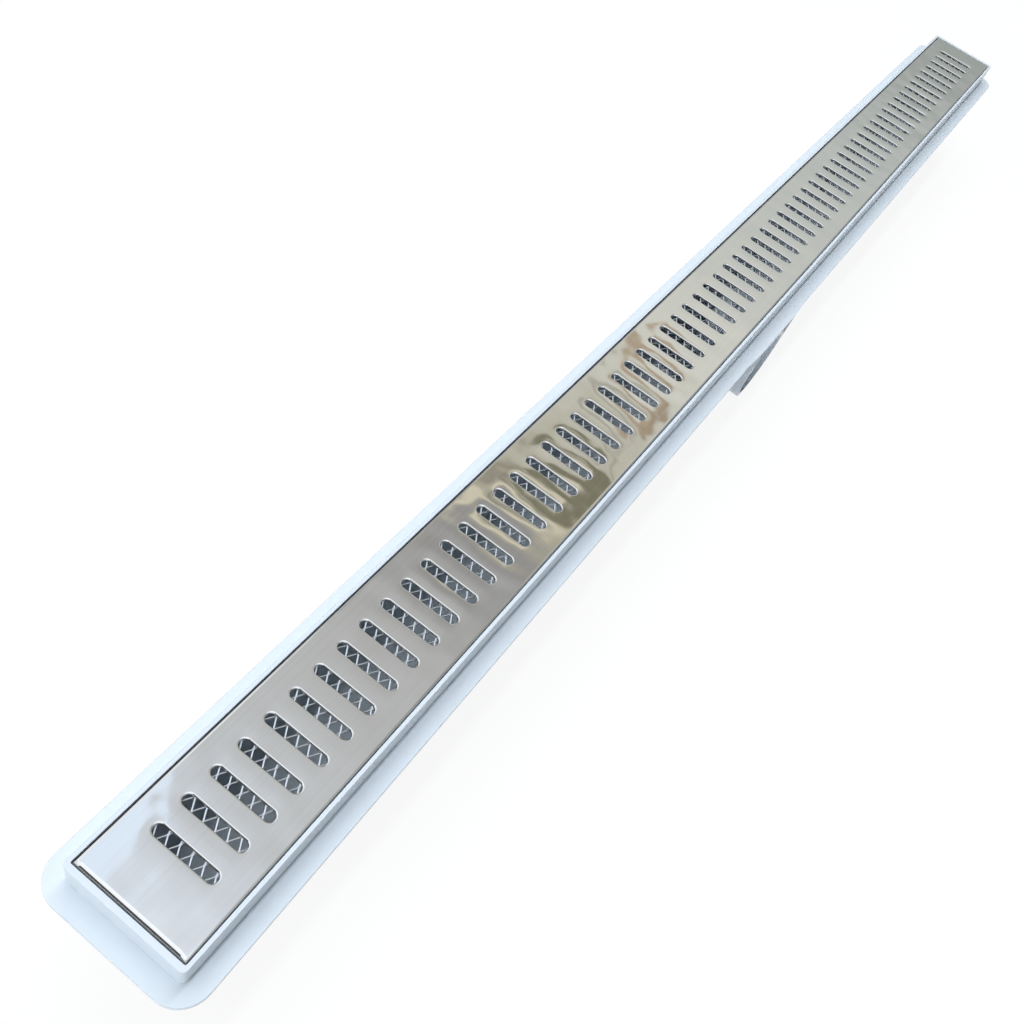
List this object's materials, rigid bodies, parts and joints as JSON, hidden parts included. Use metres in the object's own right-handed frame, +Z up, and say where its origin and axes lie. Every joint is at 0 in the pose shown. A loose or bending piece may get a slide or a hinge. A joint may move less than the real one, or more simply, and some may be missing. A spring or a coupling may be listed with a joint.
{
  "type": "linear shower drain",
  "caption": "Long slotted floor drain: folded steel grate with insect screen on a moulded gutter with flange, trap box, side pipe socket, removable trap hood and plugged bottom spigot.",
  "frame": {"origin": "on the axis of the bottom outlet, at the end of its spigot", "axes": "+X along the drain, -Y out of the side outlet, +Z up to the grate"},
  "size_m": [0.9136, 0.0686, 0.0809],
  "materials": {
    "grate_sheet": "satin brushed stainless sheet",
    "expanded_metal": "bright expanded metal",
    "body_plastic": "pale blue-grey rigid moulding, satin to glossy",
    "hood_plastic": "pale grey rigid moulding",
    "plug_plastic": "pale grey rigid moulding",
    "seal_rubber": "matte black"
  },
  "bodies": {
    "root": {"grate": "grate_sheet", "insect_screen": "expanded_metal", "channel_body": "body_plastic", "trap_hood": "hood_plastic", "hood_seal": "seal_rubber", "outlet_plug": "plug_plastic", "plug_ring": "seal_rubber"}
  },
  "joints": []
}
